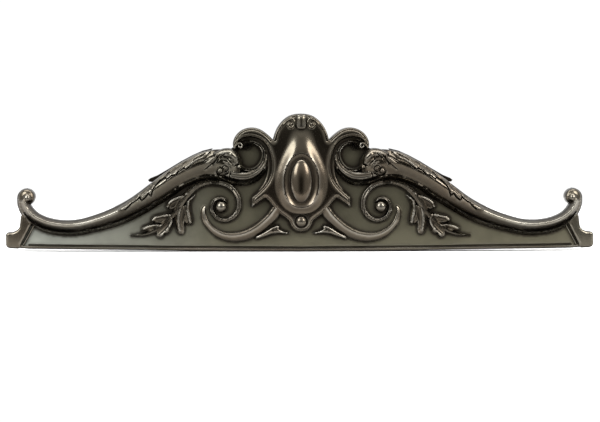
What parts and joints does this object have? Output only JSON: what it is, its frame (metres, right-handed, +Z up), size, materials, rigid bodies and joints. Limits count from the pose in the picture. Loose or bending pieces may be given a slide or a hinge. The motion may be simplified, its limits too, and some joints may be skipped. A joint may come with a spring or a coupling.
{
  "type": "scroll onlay",
  "caption": "Cast metal scroll onlay with a flat back: a bowed pediment plate with mirrored scrolls, leaves and a central shield with an oval boss.",
  "frame": {"origin": "on the flat back face, on the centre line, level with the middle of the oval boss", "axes": "+X along the length to the right as seen from the front, +Y out of the flat back into the surface it is fixed to, +Z up; the carved front looks along -Y"},
  "size_m": [0.6, 0.0347, 0.1397],
  "materials": {
    "dark_metal": "satin"
  },
  "bodies": {
    "root": {"scroll_onlay": "dark_metal"}
  },
  "joints": []
}
